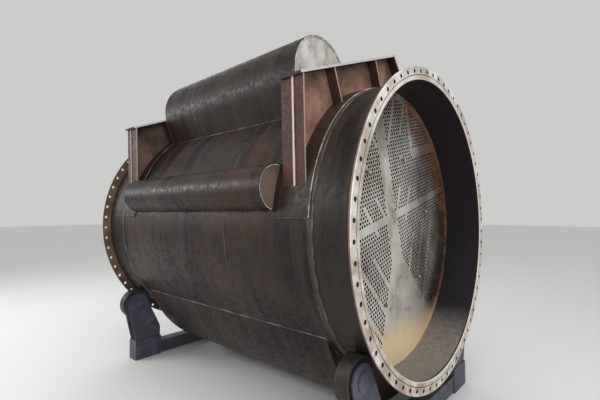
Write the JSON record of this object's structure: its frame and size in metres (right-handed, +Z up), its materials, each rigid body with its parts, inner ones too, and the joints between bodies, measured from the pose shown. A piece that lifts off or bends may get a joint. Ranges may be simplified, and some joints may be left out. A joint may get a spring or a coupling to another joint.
{
  "type": "shell and tube heat exchanger",
  "caption": "Unfinished condenser shell with flanged open ends, drilled tubesheets, saddles, a top dome, side ducts and a belly, lying rolled over on free turning rolls.",
  "frame": {"origin": "centre of the bounding box on the floor plane, halfway between the end flange faces", "axes": "+Y along the vessel axis from the front end to the rear end, +Z up, +X to the right seen from the front"},
  "size_m": [2.6627, 3.52, 3.3085],
  "materials": {
    "shell_plate": "dark mill scale with light rust",
    "flange_steel": "machined, rust stained at the rim",
    "tubesheet_steel": "machined, stained and rusting",
    "web_plate": "rusted plate",
    "primed_ribs": "red oxide primer",
    "pale_plate": "pale scale",
    "tan_plate": "light rust",
    "stand_paint": "worn blue-grey paint",
    "wheel_steel": "worn dark steel"
  },
  "bodies": {
    "stands": {"front_beam": "stand_paint", "front_left_pedestal": "stand_paint", "front_right_pedestal": "stand_paint", "front_left_bracket": "stand_paint", "front_right_bracket": "stand_paint", "rear_beam": "stand_paint", "rear_left_pedestal": "stand_paint", "rear_right_pedestal": "stand_paint", "rear_left_bracket": "stand_paint", "rear_right_bracket": "stand_paint"},
    "vessel": {"front_flange": "flange_steel", "rear_flange": "flange_steel", "front_channel": "shell_plate", "rear_channel": "shell_plate", "barrel": "shell_plate", "front_tubesheet": "tubesheet_steel", "rear_tubesheet": "tubesheet_steel", "front_studs": "tubesheet_steel", "rear_studs": "tubesheet_steel", "front_pad": "shell_plate", "front_web": "web_plate", "front_ribs": "primed_ribs", "front_base_plate": "shell_plate", "rear_pad": "shell_plate", "rear_web": "web_plate", "rear_ribs": "primed_ribs", "rear_base_plate": "shell_plate", "dome_skin": "shell_plate", "dome_front_plate": "pale_plate", "dome_rear_plate": "pale_plate", "left_duct_skin": "shell_plate", "left_duct_front_plate": "tan_plate", "left_duct_rear_plate": "tan_plate", "right_duct_skin": "shell_plate", "right_duct_front_plate": "tan_plate", "right_duct_rear_plate": "tan_plate", "belly_skin": "shell_plate", "belly_front_plate": "shell_plate", "belly_rear_plate": "shell_plate"},
    "front_left_wheel": {"front_left_wheel": "wheel_steel"},
    "front_right_wheel": {"front_right_wheel": "wheel_steel"},
    "rear_left_wheel": {"rear_left_wheel": "wheel_steel"},
    "rear_right_wheel": {"rear_right_wheel": "wheel_steel"}
  },
  "joints": [
    {"name": "vessel_turn", "type": "hinge", "parent": "stands", "child": "vessel", "pos_m": [0.01321, 0, 1.64], "axis": [0, 1, 0], "range_deg": [-90, 90]},
    {"name": "front_left_wheel_spin", "type": "hinge", "parent": "stands", "child": "front_left_wheel", "pos_m": [-0.96069, -1.569, 0.6661], "axis": [0, 1, 0], "range_deg": [-666, 666]},
    {"name": "front_right_wheel_spin", "type": "hinge", "parent": "stands", "child": "front_right_wheel", "pos_m": [0.98711, -1.569, 0.6661], "axis": [0, 1, 0], "range_deg": [-666, 666]},
    {"name": "rear_left_wheel_spin", "type": "hinge", "parent": "stands", "child": "rear_left_wheel", "pos_m": [-0.96069, 1.569, 0.6661], "axis": [0, 1, 0], "range_deg": [-666, 666]},
    {"name": "rear_right_wheel_spin", "type": "hinge", "parent": "stands", "child": "rear_right_wheel", "pos_m": [0.98711, 1.569, 0.6661], "axis": [0, 1, 0], "range_deg": [-666, 666]}
  ],
  "couplings": [
    {"joint": "front_left_wheel_spin", "follows": "vessel_turn", "ratio": -7.3455},
    {"joint": "front_right_wheel_spin", "follows": "vessel_turn", "ratio": -7.3455},
    {"joint": "rear_left_wheel_spin", "follows": "vessel_turn", "ratio": -7.3455},
    {"joint": "rear_right_wheel_spin", "follows": "vessel_turn", "ratio": -7.3455}
  ]
}
